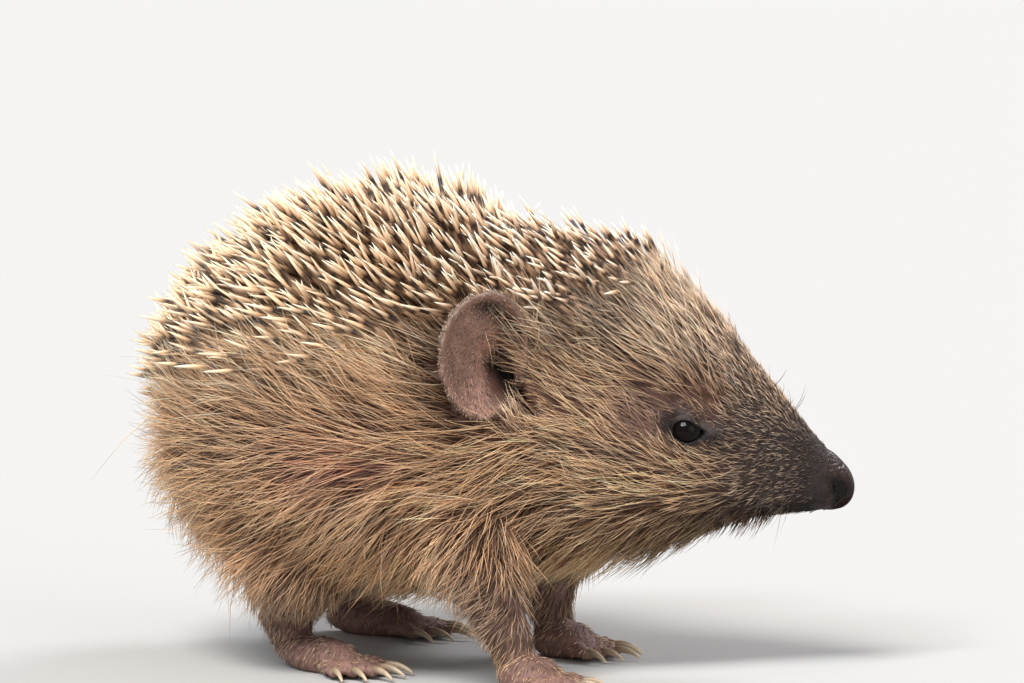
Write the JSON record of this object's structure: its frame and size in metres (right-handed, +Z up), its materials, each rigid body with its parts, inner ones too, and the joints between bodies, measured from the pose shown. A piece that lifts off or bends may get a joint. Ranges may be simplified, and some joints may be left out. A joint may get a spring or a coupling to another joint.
{
  "type": "hedgehog",
  "caption": "Life-size still model of a young European hedgehog standing with its head turned to its left and its spines laid back.",
  "frame": {"origin": "on the floor, under the middle of the whole model's bounding box", "axes": "+Z up, -Y the way the trunk faces, +X the animal's left; the head is turned about 40 degrees from -Y towards +X"},
  "size_m": [0.07, 0.0968, 0.0706],
  "materials": {
    "spines": "banded spines, dark brown below pale cream tips",
    "fur": "long straw-coloured hair over a brown undercoat",
    "face": "very short dark fur",
    "ear_skin": "velvety short-haired skin",
    "nose_skin": "wet and glossy",
    "eye": "wet and glossy black",
    "leg_skin": "sparsely haired skin",
    "horn": "smooth horn"
  },
  "bodies": {
    "root": {"nose": "nose_skin", "snout": "face", "lower_jaw": "face", "head": "fur", "eye_right": "eye", "eye_left": "eye", "ear_right": "ear_skin", "ear_left": "ear_skin", "neck": "fur", "back": "spines", "belly": "fur", "tail": "fur", "front_right_leg": "fur", "front_right_paw": "leg_skin", "claw_front_right_1": "horn", "claw_front_right_2": "horn", "claw_front_right_3": "horn", "claw_front_right_4": "horn", "claw_front_right_5": "horn", "front_left_leg": "fur", "front_left_paw": "leg_skin", "claw_front_left_1": "horn", "claw_front_left_2": "horn", "claw_front_left_3": "horn", "claw_front_left_4": "horn", "claw_front_left_5": "horn", "hind_right_leg": "fur", "hind_right_paw": "leg_skin", "claw_hind_right_1": "horn", "claw_hind_right_2": "horn", "claw_hind_right_3": "horn", "claw_hind_right_4": "horn", "claw_hind_right_5": "horn", "hind_left_leg": "fur", "hind_left_paw": "leg_skin", "claw_hind_left_1": "horn", "claw_hind_left_2": "horn", "claw_hind_left_3": "horn", "claw_hind_left_4": "horn", "claw_hind_left_5": "horn"}
  },
  "joints": []
}
